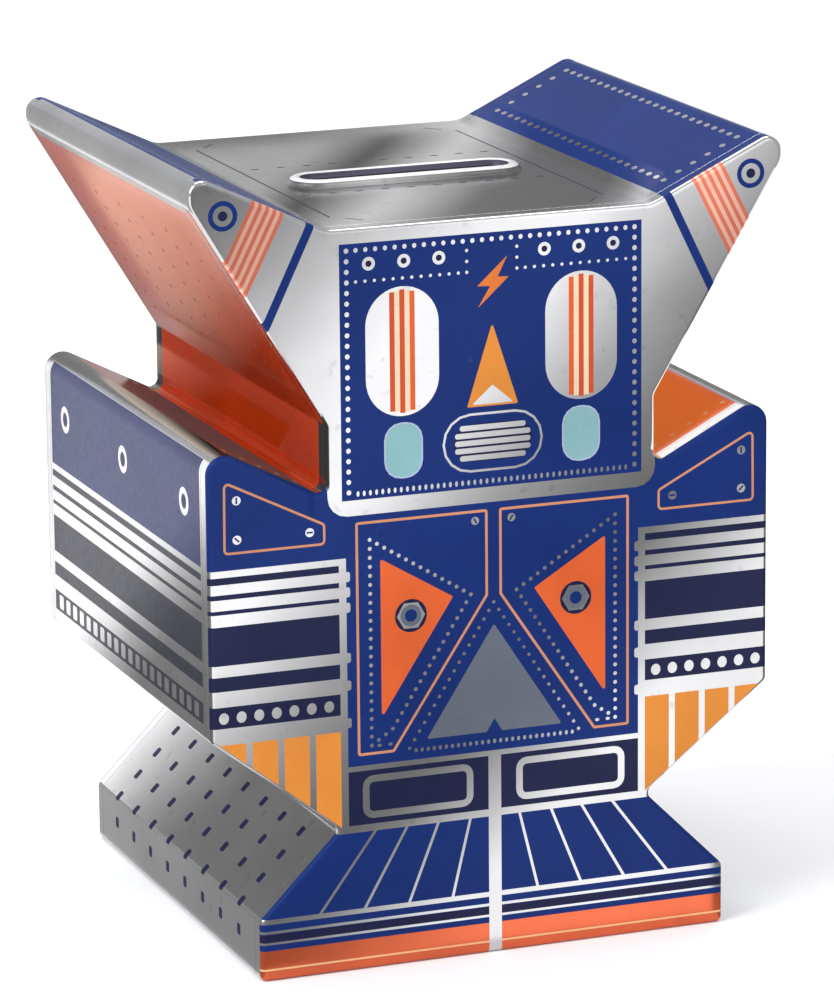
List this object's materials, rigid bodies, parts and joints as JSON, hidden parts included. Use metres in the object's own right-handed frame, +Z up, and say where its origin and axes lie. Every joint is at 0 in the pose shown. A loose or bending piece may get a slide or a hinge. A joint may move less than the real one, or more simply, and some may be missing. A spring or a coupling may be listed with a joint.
{
  "type": "robot money box",
  "caption": "Tinplate money box in the outline of a standing robot, with a coin slot in the head and a push-in stopper under the foot.",
  "frame": {"origin": "under the middle of the foot, on the surface the box stands on", "axes": "+Z up; the robot looks along -Y; +X to its own left"},
  "size_m": [0.092, 0.0774, 0.1197],
  "materials": {
    "printed_front": "tinplate printed in navy, blue and orange, with bare silver left between",
    "printed_back": "tinplate printed in navy, blue and orange, with bare silver left between",
    "printed_side": "tinplate printed in orange and blue, varnished",
    "bare_tin": "bright rolled tinplate, faintly grained, varnished",
    "stopper_plastic": "soft moulded plastic, fine texture"
  },
  "bodies": {
    "box": {"front_panel": "printed_front", "back_panel": "printed_back", "crown_strip": "bare_tin", "left_side_strip": "printed_side", "right_side_strip": "printed_side", "base_tray": "bare_tin"},
    "stopper": {"stopper": "stopper_plastic"}
  },
  "joints": [
    {"name": "stopper_pull", "type": "slide", "parent": "box", "child": "stopper", "axis": [0, 0, -1], "range_m": [0, 0.012]}
  ]
}
